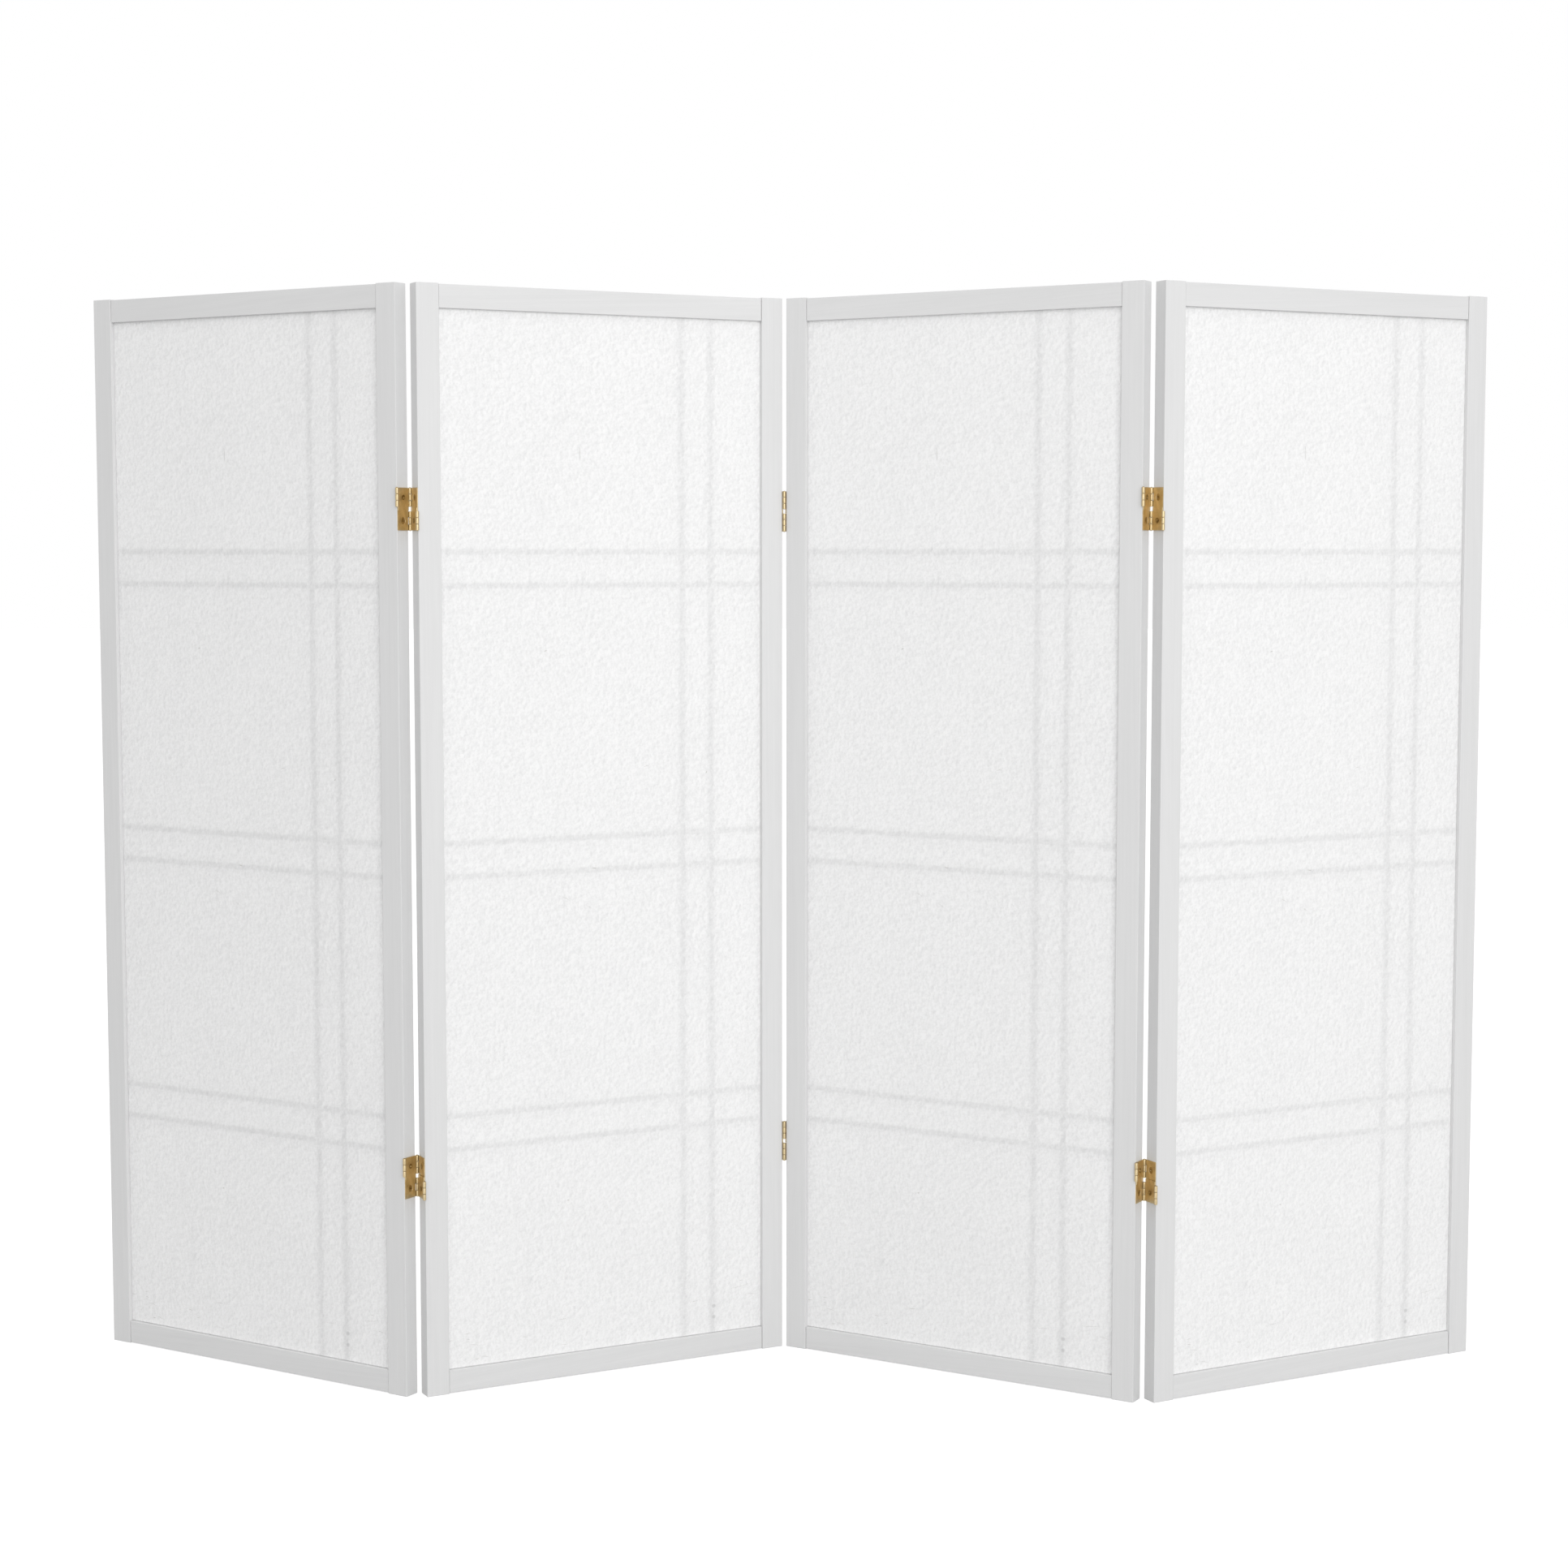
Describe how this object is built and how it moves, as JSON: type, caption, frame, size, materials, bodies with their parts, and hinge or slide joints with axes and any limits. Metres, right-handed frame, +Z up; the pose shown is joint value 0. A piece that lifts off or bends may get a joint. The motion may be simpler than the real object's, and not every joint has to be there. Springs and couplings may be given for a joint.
{
  "type": "folding screen",
  "caption": "Zigzag folding screen of white wooden frames with paper behind a double-cross lattice, joined by brass hinges that fold either way.",
  "frame": {"origin": "on the floor, at the middle of the standing zigzag's box", "axes": "+Z up, +X along the width of the screen, -Y towards the back, the side without lattice"},
  "size_m": [1.591, 0.2708, 1.219],
  "materials": {
    "white_paint": "satin white paint over softwood",
    "rice_paper": "matt fibrous rice paper",
    "brass": "brushed brass plate"
  },
  "bodies": {
    "panel_1": {"panel_1_left_stile": "white_paint", "panel_1_right_stile": "white_paint", "panel_1_bottom_rail": "white_paint", "panel_1_top_rail": "white_paint", "panel_1_lattice": "white_paint", "panel_1_paper": "rice_paper", "hinge_12_bottom_left_leaf": "brass", "hinge_12_bottom_left_link": "brass", "hinge_12_bottom_left_pin": "brass", "hinge_12_top_left_leaf": "brass", "hinge_12_top_left_link": "brass", "hinge_12_top_left_pin": "brass"},
    "panel_2": {"panel_2_left_stile": "white_paint", "panel_2_right_stile": "white_paint", "panel_2_bottom_rail": "white_paint", "panel_2_top_rail": "white_paint", "panel_2_lattice": "white_paint", "panel_2_paper": "rice_paper", "hinge_12_bottom_right_leaf": "brass", "hinge_12_bottom_right_link": "brass", "hinge_12_bottom_right_pin": "brass", "hinge_23_bottom_left_leaf": "brass", "hinge_23_bottom_left_link": "brass", "hinge_23_bottom_left_pin": "brass", "hinge_12_top_right_leaf": "brass", "hinge_12_top_right_link": "brass", "hinge_12_top_right_pin": "brass", "hinge_23_top_left_leaf": "brass", "hinge_23_top_left_link": "brass", "hinge_23_top_left_pin": "brass"},
    "panel_3": {"panel_3_left_stile": "white_paint", "panel_3_right_stile": "white_paint", "panel_3_bottom_rail": "white_paint", "panel_3_top_rail": "white_paint", "panel_3_lattice": "white_paint", "panel_3_paper": "rice_paper", "hinge_23_bottom_right_leaf": "brass", "hinge_23_bottom_right_link": "brass", "hinge_23_bottom_right_pin": "brass", "hinge_34_bottom_left_leaf": "brass", "hinge_34_bottom_left_link": "brass", "hinge_34_bottom_left_pin": "brass", "hinge_23_top_right_leaf": "brass", "hinge_23_top_right_link": "brass", "hinge_23_top_right_pin": "brass", "hinge_34_top_left_leaf": "brass", "hinge_34_top_left_link": "brass", "hinge_34_top_left_pin": "brass"},
    "panel_4": {"panel_4_left_stile": "white_paint", "panel_4_right_stile": "white_paint", "panel_4_bottom_rail": "white_paint", "panel_4_top_rail": "white_paint", "panel_4_lattice": "white_paint", "panel_4_paper": "rice_paper", "hinge_34_bottom_right_leaf": "brass", "hinge_34_bottom_right_link": "brass", "hinge_34_bottom_right_pin": "brass", "hinge_34_top_right_leaf": "brass", "hinge_34_top_right_link": "brass", "hinge_34_top_right_pin": "brass"}
  },
  "joints": [
    {"name": "fold_12", "type": "hinge", "parent": "panel_2", "child": "panel_1", "pos_m": [-0.4064, -0.09228, 0.6095], "axis": [0, 0, -1], "range_deg": [-58.5, 121.5]},
    {"name": "fold_23", "type": "hinge", "parent": "panel_2", "child": "panel_3", "pos_m": [-0.00131, 0.09181, 0.6095], "axis": [0, 0, -1], "range_deg": [-57.7, 121.3]},
    {"name": "fold_34", "type": "hinge", "parent": "panel_3", "child": "panel_4", "pos_m": [0.39322, -0.11392, 0.6095], "axis": [0, 0, 1], "range_deg": [-57.8, 122.2]}
  ]
}
